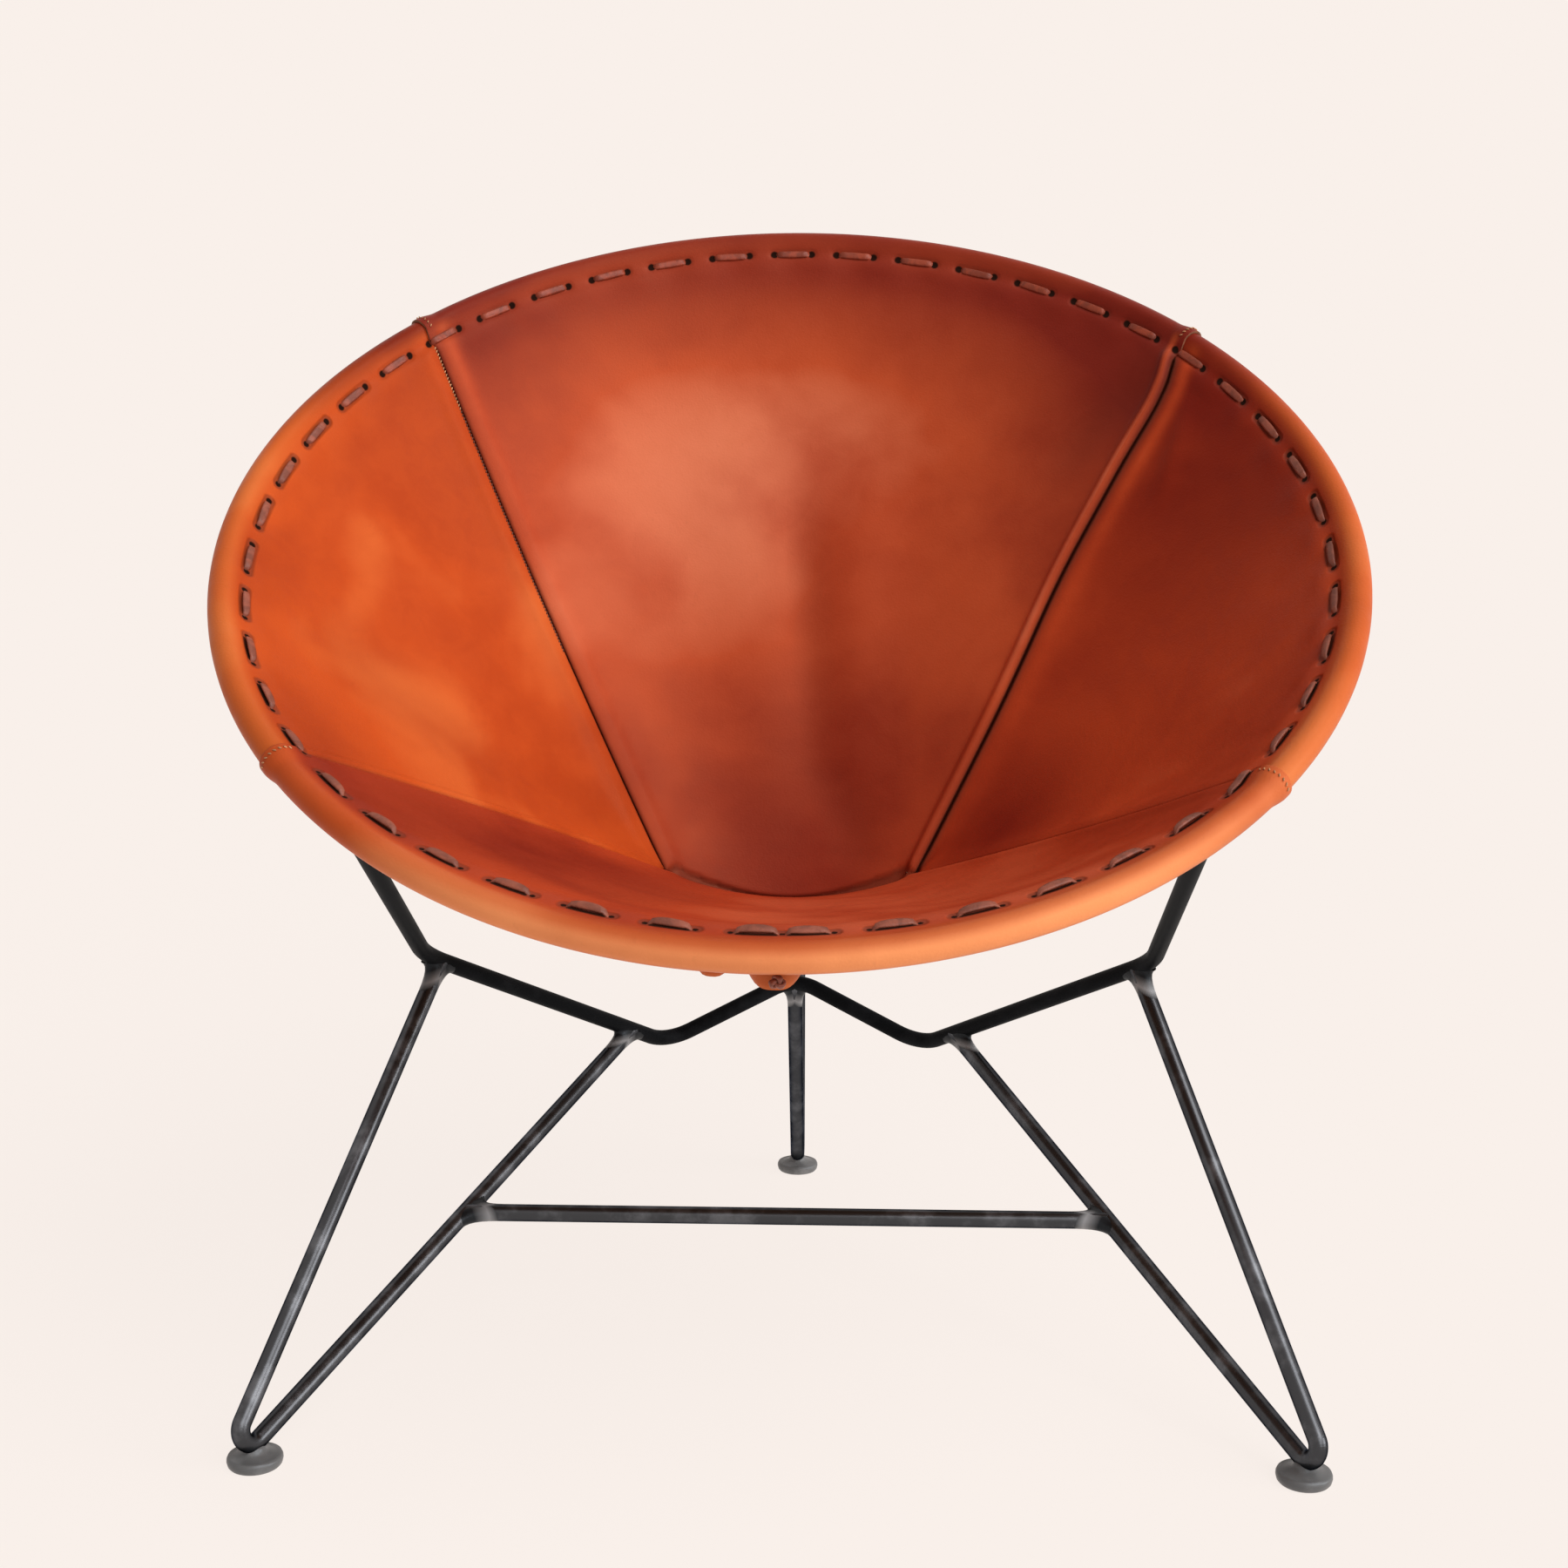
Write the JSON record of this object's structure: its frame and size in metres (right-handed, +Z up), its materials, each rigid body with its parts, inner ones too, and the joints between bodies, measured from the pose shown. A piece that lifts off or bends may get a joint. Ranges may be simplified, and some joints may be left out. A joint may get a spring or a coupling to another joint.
{
  "type": "hoop lounge chair",
  "caption": "Round hoop lounge chair: a pocket of tan leather panels laced over a steel hoop, on a black bar frame with hairpin legs.",
  "frame": {"origin": "on the floor, under the middle of the chair's outline", "axes": "+Z up, +Y towards the back of the chair, +X to the right as seen from the front"},
  "size_m": [0.8194, 0.7374, 0.8475],
  "materials": {
    "frame": "satin black powder coat",
    "glides": "satin dark grey coat",
    "sling": "smooth vegetable-tanned leather with a soft sheen",
    "lace": "dark brown waxed leather thong"
  },
  "bodies": {
    "root": {"hoop_ring": "frame", "cradle_rod": "frame", "front_leg_left": "frame", "front_leg_right": "frame", "rear_leg": "frame", "crossbar": "frame", "glide_left": "glides", "glide_right": "glides", "glide_rear": "glides", "seat_panel": "sling", "back_panel": "sling", "side_panel_left": "sling", "side_panel_right": "sling", "lace": "lace", "lace_knot": "lace"}
  },
  "joints": []
}
